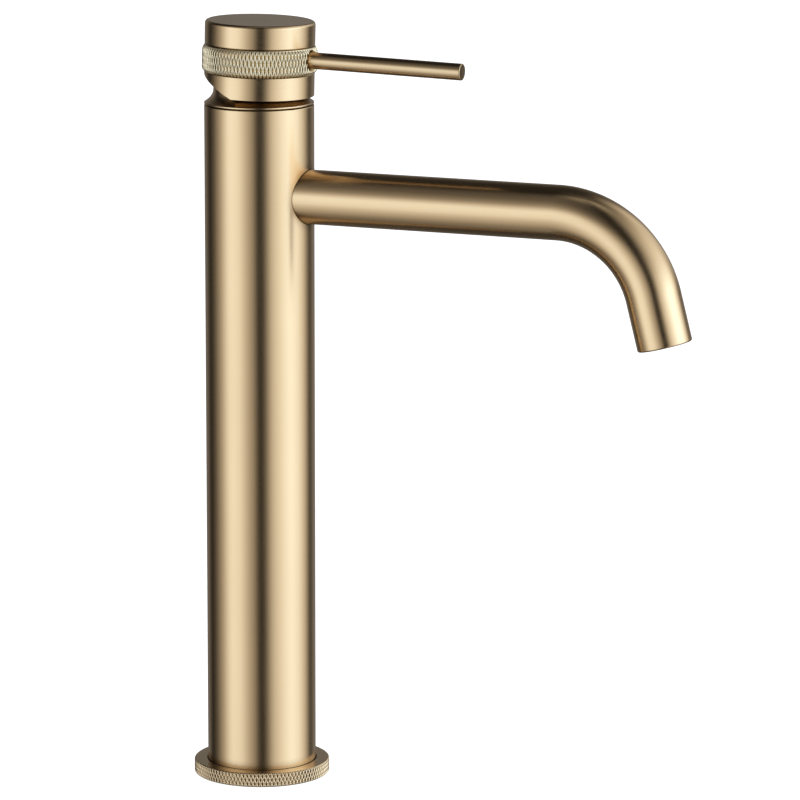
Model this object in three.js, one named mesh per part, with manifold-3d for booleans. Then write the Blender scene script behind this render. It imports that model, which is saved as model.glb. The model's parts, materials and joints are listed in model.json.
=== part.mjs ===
// A tall single-lever basin mixer, as an assembly of separate pieces.
// Millimetres, +Z up. The origin is the middle of the base on the deck, and the spout points to -Y.
import * as THREE from "three";
import { mergeVertices } from "three/addons/utils/BufferGeometryUtils.js";
import Module from "manifold-3d";

const wasm = await Module();
wasm.setup();

// ---------------------------------------------------------------- driving dimensions
// Column and base
const BODY_HEIGHT = 274.4;
const BODY_RADIUS = 22;
const BODY_WALL = 2;
const FLANGE_REACH = 5.5; // how far the base flange stands out from the column
const FLANGE_THICKNESS = 5.7;
const FLANGE_LIP = 2; // the ledge under the column's lower edge
const FLANGE_BEVEL = 0.35;
const GASKET_WIDTH = 2.4;
const GASKET_THICKNESS = 1.2;
const FOOT_HEIGHT = 18;
const HOSE_SOCKET_RADIUS = 4.5;
const HOSE_SOCKET_DEPTH = 9;
const HOSE_SOCKET_X = 8;
const STUD_SOCKET_RADIUS = 3.4;
const STUD_SOCKET_DEPTH = 12;
const STUD_SOCKET_Y = 11.5;
const SOCKET_FLOOR = 2; // material between a hose socket and the pipe socket over it

// Spout
const SPOUT_DROP = 36.1; // from the column's top to the spout's axis
const SPOUT_RADIUS = 10.93;
const SPOUT_WALL = 1.5;
const SPOUT_STRAIGHT = 127.7; // from the column's axis to the start of the bend
const SPOUT_BEND_RADIUS = 41.4;
const SPOUT_BEND_ANGLE = THREE.MathUtils.degToRad(75.46);
const SPOUT_TAIL = 19.5;
const SPOUT_PLUG_DEPTH = 7.8; // how far the tube sits inside the column
const NIPPLE_RADIUS = 8;
const NIPPLE_WALL = 2.8;
const NIPPLE_LENGTH = 11.8;
const NIPPLE_PLUG = 11;
const O_RING_WIDTH = 2;
const O_RING_DEPTH = 1.4;
const O_RING_ROUNDING = 0.5;
const O_RING_INSET = 2.4; // from an end of the nipple to the middle of its groove
const LOCK_SCREW_RADIUS = 2;
const LOCK_SCREW_DIMPLE = 1.5;
const DRIVE_SHARE = 0.55; // a screw's hexagon socket against its radius
const DRIVE_DEPTH = 1.5;
const HEXAGON = 6;

// Aerator
const AERATOR_RECESS = 0.8;
const AERATOR_LENGTH = 8;
const AERATOR_WALL = 1.2;
const AERATOR_LIP = 1.4;
const GASKET_RING_THICKNESS = 1.2;
const SEAT_RING_THICKNESS = 1.5;
const SEAT_RING_WIDTH = 2.2;
const SCREEN_THICKNESS = 0.8;
const CORE_HOLE_RADIUS = 0.75;
const CORE_HOLE_RINGS = [
  { radius: 2.2, count: 5 },
  { radius: 4.7, count: 10 },
];

// Cartridge
const CARTRIDGE_RADIUS = 17.5;
const CARTRIDGE_WALL = 1.5;
const SEAT_DEPTH = 23; // from the column's top down to the cartridge's seat
const BASE_THICKNESS = 5;
const FIXED_DISC_THICKNESS = 3;
const MOVING_DISC_THICKNESS = 2.75;
const MOVING_DISC_RADIUS = 12.7;
const MOVING_DISC_OFFSET = 2.5;
const POCKET_RADIUS = 6.5;
const POCKET_DEPTH = 1.4;
const POCKET_Y = 5;
const DRIVER_PLATE = 2.4;
const DRIVER_RADIUS = 10;
const DRIVER_BOSS_RADIUS = 4.6;
const DRIVER_BOSS_HEIGHT = 5;
const ROTOR_FLANGE = 2.4;
const ROTOR_NECK_RADIUS = 11.8;
const ROTOR_RISE = 4.3; // how far the rotor stands above the pivot pin
const ROTOR_SLOT_FRONT = 8.6; // the stem's slot in the rotor, before and behind the axis
const ROTOR_SLOT_REAR = 7;
const BOSS_ROOM = 0.3; // round the driver's boss in the rotor, and round the ball in its socket
const PIN_INSET = 0.6; // from the rotor's side to the end of the pin
const SHELL_TOP = 2;
const SHELL_FOOT = 1.5; // the shell's lower edge above the seat
const NUT_COLLAR_RADIUS = 14.5;
const NUT_COLLAR_HEIGHT = 3.9;
const NUT_WALL = 1.8;
const NUT_NOTCH_WIDTH = 3;
const NUT_NOTCH_DEPTH = 1.6;
const INLET_PORT = { x: 5.2, y: -6, radius: 2.4 };
const OUTLET_PORT = { y: 5.5, radius: 3 };
const PORT_SEAL_WALL = 1;
const HOUSING_CHANNEL = { x: 14, y: -2, radius: 2.1 };
const PIPE_RADIUS = 4;
const PIPE_WALL = 0.8;
const PIPE_SOCKET_DEPTH = 8;
const PIPE_UPRIGHT = 30; // straight length at each end of a pipe
const CHAMBER_FLOOR = 1.3; // material under the housing's outlet chamber

// Stem and handle
const PIVOT_RISE = 5.3; // the pin's height above the column's top
const STEM_ARM = 12; // from the pin down to the middle of the ball end
const STEM_WIDTH = 8;
const STEM_RISE = 22.3;
const BALL_RADIUS = 2.8;
const STEM_NECK_RADIUS = 2.2;
const STEM_NECK_LENGTH = 1.5; // free length of the neck above the ball
const PIN_RADIUS = 1.5;
const CLOSED_TILT = THREE.MathUtils.degToRad(1.37); // the closed lever points a little downwards
const FULL_LIFT = THREE.MathUtils.degToRad(22);
const HANDLE_OVERHANG = 0.05; // how far the handle stands out past the column
const SKIRT_DROP = 1.26; // how far the skirt hangs below the pin
const SKIRT_WALL = 1.85;
const SKIRT_CUT_START = 2.3;
const SKIRT_CUT_SLOPE = THREE.MathUtils.degToRad(25);
const SKIRT_ROOM_RISE = 5.5; // the top of the skirt's inside above the pin
const BAND_HEIGHT = 10.88;
const BAND_OVERHANG = 1; // how far the knurled band stands out past the column
const BAND_WALL = 2.6;
const BAND_BOTTOM = 8; // the band's lower edge above the pin
const BAND_BEVEL = 0.5;
const EDGE_BEVEL = 0.3;
const SPIGOT_RADIUS = 15;
const SPIGOT_HEIGHT = 5.5;
const CAP_HEIGHT = 9.5;
const CAP_ROUNDING = 1.3;
const LEVER_RADIUS = 3.34;
const LEVER_RISE = 13.8; // the lever's axis above the pin
const LEVER_REACH = 87;
const LEVER_ROOT = 9.5;
const LEVER_BEVEL = 0.4;
const GRUB_RADIUS = 2.5;
const GRUB_INSET = 0.5; // from the lever's root to the screw's head
const GRUB_DRIVE_DEPTH = 2;

// Bonnet: a bead, a concave flare, and a dome about the pin
const BEAD_HEIGHT = 0.9;
const BEAD_BEVEL = 0.25;
const NECK_INSET = 3.7; // from the column's side in to the dome
const DOME_RISE = 7.5; // the flat top of the dome above the pin
const FLARE_HEIGHT = 5.2;
const FLARE_POWER = 2.35; // how sharply the flare curves outwards at its foot
const BONNET_BORE_CLEARANCE = 0.15;
const BONNET_TOP_OPENING = 10.5;
const BONNET_TOP_WALL = 1.8;

// Fits
const SLIP = 0.1; // radial clearance of a piece that plugs into a bore
const TURNED_GAP = 0.2; // between pieces that touch inside a tilted group
const SEAM = 0.35; // the shadow line between the column and the bonnet
const RUNNING_GAP = 0.05; // between the two ceramic discs
const DOME_CLEARANCE = 0.9; // round the bonnet's dome inside the handle
const DOME_TOP_ROOM = 0.7; // over the dome's flat top
const HOUSING_CLEARANCE = 0.3; // round the housing in the column, and round the cartridge in the housing
const FOOT_CLEARANCE = 0.15;
const SEAL_CLEARANCE = 0.05; // beside a rubber part in its groove or bore
const THROUGH = 1; // how far a cutting solid passes a surface
const LARGE = 200; // longer than any piece that a cutting block passes through

// Facets round a circle
const FINE = 32;
const MEDIUM = 24;
const SMALL = 16;
const TINY = 12;

// ---------------------------------------------------------------- derived places
const BODY_BORE = BODY_RADIUS - BODY_WALL;
const FLANGE_RADIUS = BODY_RADIUS + FLANGE_REACH;
const GASKET_INNER = BODY_RADIUS + (FLANGE_REACH - GASKET_WIDTH) / 2;
const PIPE_FOOT_Z = HOSE_SOCKET_DEPTH + SOCKET_FLOOR;
const HOUSING_RADIUS = BODY_BORE - HOUSING_CLEARANCE;
const SPOUT_Z = BODY_HEIGHT - SPOUT_DROP;
const SPOUT_BORE = SPOUT_RADIUS - SPOUT_WALL;
const SPOUT_ROOT = BODY_RADIUS - SPOUT_PLUG_DEPTH; // from the axis to the tube's inner end
const NIPPLE_END = SPOUT_ROOT - NIPPLE_LENGTH;
const LOCK_SCREW_REACH = SPOUT_ROOT - NIPPLE_LENGTH / 2;
const AERATOR_RADIUS = SPOUT_BORE - TURNED_GAP;
const AERATOR_TOP = AERATOR_RECESS + AERATOR_LENGTH;
const SEAT_Z = BODY_HEIGHT - SEAT_DEPTH;
const HOUSING_TOP = BODY_HEIGHT - HOUSING_CLEARANCE;
const CARTRIDGE_BORE = CARTRIDGE_RADIUS + HOUSING_CLEARANCE;
const SOCKET_TOP = SPOUT_Z - NIPPLE_RADIUS - CHAMBER_FLOOR;
const HOUSING_BOTTOM = SOCKET_TOP - PIPE_SOCKET_DEPTH - SOCKET_FLOOR;
const PIVOT_Z = BODY_HEIGHT + PIVOT_RISE;
const DISC_Z = SEAT_Z + BASE_THICKNESS + FIXED_DISC_THICKNESS + RUNNING_GAP;
const DRIVER_Z = DISC_Z + MOVING_DISC_THICKNESS;
const ROTOR_Z = DRIVER_Z + DRIVER_PLATE + TURNED_GAP;
const SHELL_TOP_Z = ROTOR_Z + ROTOR_FLANGE + TURNED_GAP + SHELL_TOP;
const NUT_TOP = BODY_HEIGHT + SEAM - RUNNING_GAP;
const CARTRIDGE_INNER = CARTRIDGE_RADIUS - CARTRIDGE_WALL;
const BALL_REST_Y = STEM_ARM * Math.sin(CLOSED_TILT);
const DISC_TRAVEL = STEM_ARM * (Math.sin(FULL_LIFT - CLOSED_TILT) + Math.sin(CLOSED_TILT));
const HANDLE_RADIUS = BODY_RADIUS + HANDLE_OVERHANG;
const BAND_RADIUS = BODY_RADIUS + BAND_OVERHANG;
const DOME_RADIUS = BODY_RADIUS - NECK_INSET;
const SKIRT_BORE = HANDLE_RADIUS - SKIRT_WALL;
const BAND_BORE = BAND_RADIUS - BAND_WALL;
const BAND_TOP = BAND_BOTTOM + BAND_HEIGHT;

// ---------------------------------------------------------------- finishes
const finish = (color, roughness, metalness) => ({ color, roughness, metalness });
const GOLD = finish(0xb99a6c, 0.32, 1);
const RAW_BRASS = finish(0xb8944a, 0.45, 1);
const COPPER = finish(0xb87348, 0.35, 1);
const STEEL = finish(0x9a9a9c, 0.35, 1);
const RUBBER = finish(0x1c1c1e, 0.85, 0);
const CERAMIC = finish(0xe6e2d8, 0.25, 0);
const WHITE_PLASTIC = finish(0xd9d9d4, 0.5, 0);
const GREY_PLASTIC = finish(0x55585c, 0.5, 0);

// ---------------------------------------------------------------- shape helpers
// A solid for joining and cutting, from a closed geometry.
function solidOf(geometry) {
  const bare = geometry.clone();
  bare.deleteAttribute("normal");
  bare.deleteAttribute("uv");
  const merged = mergeVertices(bare, 1e-4);
  return new wasm.Manifold(
    new wasm.Mesh({
      numProp: 3,
      vertProperties: new Float32Array(merged.attributes.position.array),
      triVerts: new Uint32Array(merged.index.array),
    }),
  );
}

function geometryOf(solid) {
  const mesh = solid.getMesh();
  const geometry = new THREE.BufferGeometry();
  geometry.setAttribute("position", new THREE.BufferAttribute(mesh.vertProperties, 3));
  geometry.setIndex(new THREE.BufferAttribute(mesh.triVerts, 1));
  geometry.computeVertexNormals();
  return geometry;
}

// A solid of revolution about +Z from a closed outline of [radius, z] points.
function revolved(outline, segments) {
  const points = outline.map(([r, z]) => new THREE.Vector2(r, z));
  if (THREE.ShapeUtils.isClockWise(points)) points.reverse();
  points.push(points[0].clone());
  return solidOf(new THREE.LatheGeometry(points, segments).rotateX(Math.PI / 2));
}

// A ring between two radii, or a plain rod where the inner radius is 0.
function ring(inner, outer, bottom, top, segments) {
  return revolved(
    [
      [inner, bottom],
      [outer, bottom],
      [outer, top],
      [inner, top],
    ],
    segments,
  );
}

const rod = (radius, bottom, top, segments) => ring(0, radius, bottom, top, segments);

function moved(solid, x, y, z) {
  return solid.translate([x, y, z]);
}

// A solid made along +Z, laid so that its +Z points along -Y.
function laid(solid) {
  return solid.rotate([90, 0, 0]);
}

function block(width, depth, bottom, top) {
  const geometry = new THREE.BoxGeometry(width, depth, top - bottom);
  return solidOf(geometry.translate(0, 0, (top + bottom) / 2));
}

// A round hole's solid between two points.
function rodBetween(from, to, radius, segments) {
  const start = new THREE.Vector3(...from);
  const line = new THREE.Vector3(...to).sub(start);
  const geometry = new THREE.CylinderGeometry(radius, radius, line.length(), segments);
  geometry.translate(0, line.length() / 2, 0);
  const turn = new THREE.Quaternion();
  turn.setFromUnitVectors(new THREE.Vector3(0, 1, 0), line.clone().normalize());
  return solidOf(geometry.applyQuaternion(turn).translate(...start));
}

function circleShape(outer, inner, segments) {
  const corner = (radius, i) => {
    const angle = (2 * Math.PI * i) / segments;
    return new THREE.Vector2(radius * Math.cos(angle), radius * Math.sin(angle));
  };
  const loop = (radius) => Array.from({ length: segments }, (_, i) => corner(radius, i));
  const shape = new THREE.Shape(loop(outer));
  shape.holes.push(new THREE.Path(loop(inner)));
  return shape;
}

// A tube along a curve whose own parameter sets where the steps fall.
function tubeAlong(curve, outer, inner, steps, segments) {
  const geometry = new THREE.ExtrudeGeometry(circleShape(outer, inner, segments), {
    steps,
    bevelEnabled: false,
    extrudePath: curve,
  });
  return solidOf(geometry);
}

// Points on an arc, in the [radius, z] plane of an outline.
function arc(centreR, centreZ, radius, fromAngle, toAngle, steps) {
  return Array.from({ length: steps + 1 }, (_, i) => {
    const angle = fromAngle + ((toAngle - fromAngle) * i) / steps;
    return [centreR + radius * Math.cos(angle), centreZ + radius * Math.sin(angle)];
  });
}

function mesh(name, solid, look) {
  const material = new THREE.MeshStandardMaterial(look);
  const piece = new THREE.Mesh(geometryOf(solid), material);
  piece.name = name;
  return piece;
}

// ---------------------------------------------------------------- base
function baseFlange() {
  const bore = BODY_RADIUS + SLIP;
  const groove = ring(
    GASKET_INNER,
    GASKET_INNER + GASKET_WIDTH,
    -THROUGH,
    GASKET_THICKNESS,
    FINE,
  );
  const flange = revolved(
    [
      [BODY_BORE, 0],
      [FLANGE_RADIUS - FLANGE_BEVEL, 0],
      [FLANGE_RADIUS, FLANGE_BEVEL],
      [FLANGE_RADIUS, FLANGE_THICKNESS - FLANGE_BEVEL],
      [FLANGE_RADIUS - FLANGE_BEVEL, FLANGE_THICKNESS],
      [bore, FLANGE_THICKNESS],
      [bore, FLANGE_LIP],
      [BODY_BORE, FLANGE_LIP],
    ],
    FINE,
  );
  return flange.subtract(groove);
}

function baseGasket() {
  const inner = GASKET_INNER + SEAL_CLEARANCE;
  const outer = GASKET_INNER + GASKET_WIDTH - SEAL_CLEARANCE;
  return ring(inner, outer, 0, GASKET_THICKNESS, FINE);
}

// The foot closes the column, takes two hoses and two studs from below, and two pipes from above.
function footPlug() {
  let foot = rod(BODY_BORE - FOOT_CLEARANCE, 0, FOOT_HEIGHT, FINE);
  for (const side of [-1, 1]) {
    const x = side * HOSE_SOCKET_X;
    const socket = rod(HOSE_SOCKET_RADIUS, -THROUGH, HOSE_SOCKET_DEPTH, SMALL);
    const channel = rod(PIPE_RADIUS - PIPE_WALL, 0, FOOT_HEIGHT, TINY);
    const pipeSocket = rod(PIPE_RADIUS + SLIP, PIPE_FOOT_Z, FOOT_HEIGHT + THROUGH, TINY);
    const stud = rod(STUD_SOCKET_RADIUS, -THROUGH, STUD_SOCKET_DEPTH, SMALL);
    foot = foot.subtract(moved(socket.add(channel).add(pipeSocket), x, 0, 0));
    foot = foot.subtract(moved(stud, 0, side * STUD_SOCKET_Y, 0));
  }
  return foot;
}

// ---------------------------------------------------------------- column
function bodyTube() {
  const tube = ring(BODY_BORE, BODY_RADIUS, FLANGE_LIP, BODY_HEIGHT, FINE);
  const hole = laid(rod(SPOUT_RADIUS + SLIP, BODY_BORE / 2, BODY_RADIUS * 2, MEDIUM));
  return tube.subtract(moved(hole, 0, 0, SPOUT_Z));
}

// A pipe's line: upright at both ends, with one slow sideways step between them.
class PipeLine extends THREE.Curve {
  constructor(side) {
    super();
    this.from = new THREE.Vector2(side * HOSE_SOCKET_X, 0);
    this.to = new THREE.Vector2(side * HOUSING_CHANNEL.x, HOUSING_CHANNEL.y);
  }

  getPoint(t, target = new THREE.Vector3()) {
    const bottom = PIPE_FOOT_Z + SLIP;
    const top = SOCKET_TOP - SLIP;
    const z = bottom + (top - bottom) * t;
    const share = THREE.MathUtils.smoothstep(z, bottom + PIPE_UPRIGHT, top - PIPE_UPRIGHT);
    const place = this.from.clone().lerp(this.to, share);
    return target.set(place.x, place.y, z);
  }

  getUtoTmapping(u) {
    return u;
  }
}

function supplyPipe(side) {
  const steps = 10;
  return tubeAlong(new PipeLine(side), PIPE_RADIUS, PIPE_RADIUS - PIPE_WALL, steps, TINY);
}

// The valve body: the cartridge's bore above, the spout's bore across, and a channel for each pipe.
function valveHousing() {
  const body = rod(HOUSING_RADIUS, HOUSING_BOTTOM, HOUSING_TOP, FINE);
  const cartridgeBore = rod(CARTRIDGE_BORE, SEAT_Z, HOUSING_TOP + THROUGH, FINE);
  const counterbore = laid(rod(SPOUT_RADIUS + SLIP, SPOUT_ROOT, BODY_RADIUS * 2, MEDIUM));
  const chamber = laid(rod(NIPPLE_RADIUS + SLIP, -OUTLET_PORT.y - OUTLET_PORT.radius, BODY_RADIUS, MEDIUM));
  const outlet = rod(OUTLET_PORT.radius, SPOUT_Z, SEAT_Z + THROUGH, TINY);
  const screwHole = rod(LOCK_SCREW_RADIUS + SLIP, SPOUT_Z, SEAT_Z + THROUGH, TINY);
  let housing = body
    .subtract(cartridgeBore)
    .subtract(moved(counterbore.add(chamber), 0, 0, SPOUT_Z))
    .subtract(moved(outlet, 0, OUTLET_PORT.y, 0))
    .subtract(moved(screwHole, 0, -LOCK_SCREW_REACH, 0));
  const { x, y, radius } = HOUSING_CHANNEL;
  for (const side of [-1, 1]) {
    const slant = rodBetween(
      [side * INLET_PORT.x, INLET_PORT.y, SEAT_Z + THROUGH],
      [side * x, y, SPOUT_Z],
      radius,
      TINY,
    );
    const drop = rod(radius, SOCKET_TOP - THROUGH, SPOUT_Z, TINY);
    const socket = rod(PIPE_RADIUS + SLIP, HOUSING_BOTTOM - THROUGH, SOCKET_TOP, TINY);
    housing = housing.subtract(slant).subtract(moved(drop.add(socket), side * x, y, 0));
  }
  return housing;
}

// ---------------------------------------------------------------- spout
// The spout's centre line: a straight run, a bend and a tail. The straight runs take one step each.
class SpoutLine extends THREE.Curve {
  constructor(bendSteps) {
    super();
    this.steps = bendSteps + 2;
  }

  getPoint(t, target = new THREE.Vector3()) {
    const place = t * this.steps;
    if (place <= 1) {
      const reach = SPOUT_ROOT + (SPOUT_STRAIGHT - SPOUT_ROOT) * place;
      return target.set(0, -reach, SPOUT_Z);
    }
    const bend = Math.min((place - 1) / (this.steps - 2), 1) * SPOUT_BEND_ANGLE;
    const tail = Math.max(place - this.steps + 1, 0) * SPOUT_TAIL;
    const reach = SPOUT_STRAIGHT + SPOUT_BEND_RADIUS * Math.sin(bend) + tail * Math.cos(bend);
    const drop = SPOUT_BEND_RADIUS * (1 - Math.cos(bend)) + tail * Math.sin(bend);
    return target.set(0, -reach, SPOUT_Z - drop);
  }

  getUtoTmapping(u) {
    return u;
  }
}

function spoutTube() {
  const bendSteps = 8;
  const line = new SpoutLine(bendSteps);
  return tubeAlong(line, SPOUT_RADIUS, SPOUT_BORE, bendSteps + 2, MEDIUM);
}

const sealReach = (end) => (end === "front" ? SPOUT_ROOT - O_RING_INSET : NIPPLE_END + O_RING_INSET);

function spoutNipple() {
  const bore = NIPPLE_RADIUS - NIPPLE_WALL;
  let nipple = revolved(
    [
      [bore, NIPPLE_END],
      [NIPPLE_RADIUS, NIPPLE_END],
      [NIPPLE_RADIUS, SPOUT_ROOT],
      [SPOUT_BORE - SLIP, SPOUT_ROOT],
      [SPOUT_BORE - SLIP, SPOUT_ROOT + NIPPLE_PLUG],
      [bore, SPOUT_ROOT + NIPPLE_PLUG],
    ],
    MEDIUM,
  );
  for (const end of ["front", "rear"]) {
    const middle = sealReach(end);
    const groove = ring(
      NIPPLE_RADIUS - O_RING_DEPTH,
      NIPPLE_RADIUS + THROUGH,
      middle - O_RING_WIDTH / 2 - SLIP,
      middle + O_RING_WIDTH / 2 + SLIP,
      MEDIUM,
    );
    nipple = nipple.subtract(groove);
  }
  const dimpleFloor = NIPPLE_RADIUS - LOCK_SCREW_DIMPLE;
  const dimple = rod(LOCK_SCREW_RADIUS + SLIP, dimpleFloor, NIPPLE_RADIUS + THROUGH, TINY);
  return moved(laid(nipple).subtract(moved(dimple, 0, -LOCK_SCREW_REACH, 0)), 0, 0, SPOUT_Z);
}

function spoutSeal(end) {
  const middle = sealReach(end);
  const half = O_RING_WIDTH / 2;
  const round = O_RING_ROUNDING;
  const inner = NIPPLE_RADIUS - O_RING_DEPTH + SEAL_CLEARANCE;
  const outer = NIPPLE_RADIUS + SLIP - SEAL_CLEARANCE;
  const seal = revolved(
    [
      [inner + round, middle - half],
      [outer - round, middle - half],
      [outer, middle - half + round],
      [outer, middle + half - round],
      [outer - round, middle + half],
      [inner + round, middle + half],
      [inner, middle + half - round],
      [inner, middle - half + round],
    ],
    MEDIUM,
  );
  return moved(laid(seal), 0, 0, SPOUT_Z);
}

function spoutLockScrew() {
  const tip = SPOUT_Z + NIPPLE_RADIUS - LOCK_SCREW_DIMPLE + TURNED_GAP;
  const top = SEAT_Z - HOUSING_CLEARANCE;
  const screw = rod(LOCK_SCREW_RADIUS, tip, top, TINY);
  const drive = rod(LOCK_SCREW_RADIUS * DRIVE_SHARE, top - DRIVE_DEPTH, top + THROUGH, HEXAGON);
  return moved(screw.subtract(drive), 0, -LOCK_SCREW_REACH, 0);
}

// ---------------------------------------------------------------- aerator
// The outlet's pieces are drawn about +Z with the mouth at 0 and the spout's inside above it.
function aeratorShell() {
  const outer = AERATOR_RADIUS;
  const inner = outer - AERATOR_WALL;
  return revolved(
    [
      [inner - AERATOR_LIP, AERATOR_RECESS],
      [outer, AERATOR_RECESS],
      [outer, AERATOR_TOP],
      [inner, AERATOR_TOP],
      [inner, AERATOR_RECESS + AERATOR_LIP],
      [inner - AERATOR_LIP, AERATOR_RECESS + AERATOR_LIP],
    ],
    MEDIUM,
  );
}

// The flow straightener: a disc with rings of small holes.
function aeratorCore() {
  const outer = AERATOR_RADIUS - AERATOR_WALL - TURNED_GAP;
  const bottom = AERATOR_RECESS + AERATOR_LIP + TURNED_GAP;
  const squareHole = 4;
  let core = rod(outer, bottom, AERATOR_TOP - SCREEN_THICKNESS - 2 * TURNED_GAP, MEDIUM);
  for (const { radius, count } of CORE_HOLE_RINGS) {
    for (let i = 0; i < count; i++) {
      const angle = (2 * Math.PI * i) / count;
      const hole = rod(CORE_HOLE_RADIUS, 0, AERATOR_TOP, squareHole);
      core = core.subtract(moved(hole, radius * Math.cos(angle), radius * Math.sin(angle), 0));
    }
  }
  return core;
}

function aeratorScreen() {
  const top = AERATOR_TOP - TURNED_GAP;
  return rod(AERATOR_RADIUS - AERATOR_WALL - TURNED_GAP, top - SCREEN_THICKNESS, top, MEDIUM);
}

function aeratorGasket() {
  const bottom = AERATOR_TOP + TURNED_GAP;
  const inner = AERATOR_RADIUS - SEAT_RING_WIDTH;
  return ring(inner, AERATOR_RADIUS, bottom, bottom + GASKET_RING_THICKNESS, MEDIUM);
}

function aeratorSeatRing() {
  const bottom = AERATOR_TOP + GASKET_RING_THICKNESS + 2 * TURNED_GAP;
  const inner = AERATOR_RADIUS - SEAT_RING_WIDTH;
  return ring(inner, AERATOR_RADIUS, bottom, bottom + SEAT_RING_THICKNESS, MEDIUM);
}

// ---------------------------------------------------------------- cartridge
// A round piece with the two inlet ports and the outlet port through it.
function withPorts(solid, bottom, top, extra) {
  let drilled = solid;
  for (const side of [-1, 1]) {
    const hole = rod(INLET_PORT.radius + extra, bottom - THROUGH, top + THROUGH, TINY);
    drilled = drilled.subtract(moved(hole, side * INLET_PORT.x, INLET_PORT.y, 0));
  }
  const hole = rod(OUTLET_PORT.radius + extra, bottom - THROUGH, top + THROUGH, TINY);
  return drilled.subtract(moved(hole, 0, OUTLET_PORT.y, 0));
}

function cartridgeBase() {
  const top = SEAT_Z + BASE_THICKNESS;
  const base = rod(CARTRIDGE_INNER - SLIP, SEAT_Z, top, FINE);
  return withPorts(base, SEAT_Z, top, PORT_SEAL_WALL + SEAL_CLEARANCE);
}

function portSeal(x, y, radius) {
  const sleeve = ring(radius, radius + PORT_SEAL_WALL, SEAT_Z, SEAT_Z + BASE_THICKNESS, TINY);
  return moved(sleeve, x, y, 0);
}

function fixedDisc() {
  const bottom = SEAT_Z + BASE_THICKNESS;
  const top = bottom + FIXED_DISC_THICKNESS;
  return withPorts(rod(CARTRIDGE_INNER - 3 * SLIP, bottom, top, FINE), bottom, top, 0);
}

// The shell stands on the seat's rim and is held down by the nut.
function cartridgeShell() {
  const opening = ROTOR_NECK_RADIUS + TURNED_GAP;
  return revolved(
    [
      [CARTRIDGE_INNER, SEAT_Z + SHELL_FOOT],
      [CARTRIDGE_RADIUS, SEAT_Z + SHELL_FOOT],
      [CARTRIDGE_RADIUS, SHELL_TOP_Z],
      [opening, SHELL_TOP_Z],
      [opening, SHELL_TOP_Z - SHELL_TOP],
      [CARTRIDGE_INNER, SHELL_TOP_Z - SHELL_TOP],
    ],
    FINE,
  );
}

// The moving disc, with a shallow pocket underneath that joins the ports.
function movingDisc() {
  const disc = rod(MOVING_DISC_RADIUS, DISC_Z, DISC_Z + MOVING_DISC_THICKNESS, MEDIUM);
  const pocket = rod(POCKET_RADIUS, DISC_Z - THROUGH, DISC_Z + POCKET_DEPTH, SMALL);
  return moved(disc, 0, MOVING_DISC_OFFSET, 0).subtract(moved(pocket, 0, POCKET_Y, 0));
}

function discDriver() {
  const plate = rod(DRIVER_RADIUS, DRIVER_Z, DRIVER_Z + DRIVER_PLATE, MEDIUM);
  const bossTop = DRIVER_Z + DRIVER_PLATE + DRIVER_BOSS_HEIGHT;
  const boss = rod(DRIVER_BOSS_RADIUS, DRIVER_Z + THROUGH, bossTop, SMALL);
  const socketFloor = DRIVER_Z + DRIVER_PLATE - BOSS_ROOM;
  const socket = rod(BALL_RADIUS + BOSS_ROOM, socketFloor, bossTop + THROUGH, SMALL);
  return moved(plate, 0, MOVING_DISC_OFFSET, 0)
    .add(moved(boss, 0, BALL_REST_Y, 0))
    .subtract(moved(socket, 0, BALL_REST_Y, 0));
}

// The rotor turns in the shell, carries the pin, and guides the driver's boss in a slot.
function cartridgeRotor() {
  const top = PIVOT_Z + ROTOR_RISE;
  const rotor = revolved(
    [
      [0, ROTOR_Z],
      [CARTRIDGE_INNER - 3 * SLIP, ROTOR_Z],
      [CARTRIDGE_INNER - 3 * SLIP, ROTOR_Z + ROTOR_FLANGE],
      [ROTOR_NECK_RADIUS, ROTOR_Z + ROTOR_FLANGE],
      [ROTOR_NECK_RADIUS, top],
      [0, top],
    ],
    FINE,
  );
  const below = ROTOR_Z - THROUGH;
  const bossTop = DRIVER_Z + DRIVER_PLATE + DRIVER_BOSS_HEIGHT + BOSS_ROOM;
  const front = DRIVER_BOSS_RADIUS + DISC_TRAVEL - BALL_REST_Y + BOSS_ROOM;
  const rear = DRIVER_BOSS_RADIUS + BALL_REST_Y + BOSS_ROOM;
  const bossSlot = block(2 * (DRIVER_BOSS_RADIUS + BOSS_ROOM), front + rear, below, bossTop);
  const slotLength = ROTOR_SLOT_FRONT + ROTOR_SLOT_REAR;
  const stemSlot = block(STEM_WIDTH + 2 * TURNED_GAP, slotLength, below, top + THROUGH);
  const pinHole = pinRod(ROTOR_NECK_RADIUS + THROUGH, PIN_RADIUS + SEAL_CLEARANCE, PIVOT_Z);
  return rotor
    .subtract(moved(bossSlot, 0, (rear - front) / 2, 0))
    .subtract(moved(stemSlot, 0, (ROTOR_SLOT_REAR - ROTOR_SLOT_FRONT) / 2, 0))
    .subtract(pinHole);
}

function pinRod(half, radius, z) {
  return rodBetween([-half, 0, z], [half, 0, z], radius, SMALL);
}

const stemPivotPin = () => pinRod(ROTOR_NECK_RADIUS - PIN_INSET, PIN_RADIUS, PIVOT_Z);

// The nut clamps the shell, and its collar takes the bonnet.
function retainingNut() {
  const bore = NUT_COLLAR_RADIUS - NUT_WALL;
  const top = NUT_TOP + NUT_COLLAR_HEIGHT;
  const nut = revolved(
    [
      [bore, SHELL_TOP_Z],
      [CARTRIDGE_BORE - SLIP, SHELL_TOP_Z],
      [CARTRIDGE_BORE - SLIP, NUT_TOP],
      [NUT_COLLAR_RADIUS, NUT_TOP],
      [NUT_COLLAR_RADIUS, top],
      [bore, top],
    ],
    FINE,
  );
  const notch = block(NUT_NOTCH_WIDTH, LARGE, top - NUT_NOTCH_DEPTH, top + THROUGH);
  return nut.subtract(notch).subtract(notch.rotate([0, 0, 90]));
}

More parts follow.
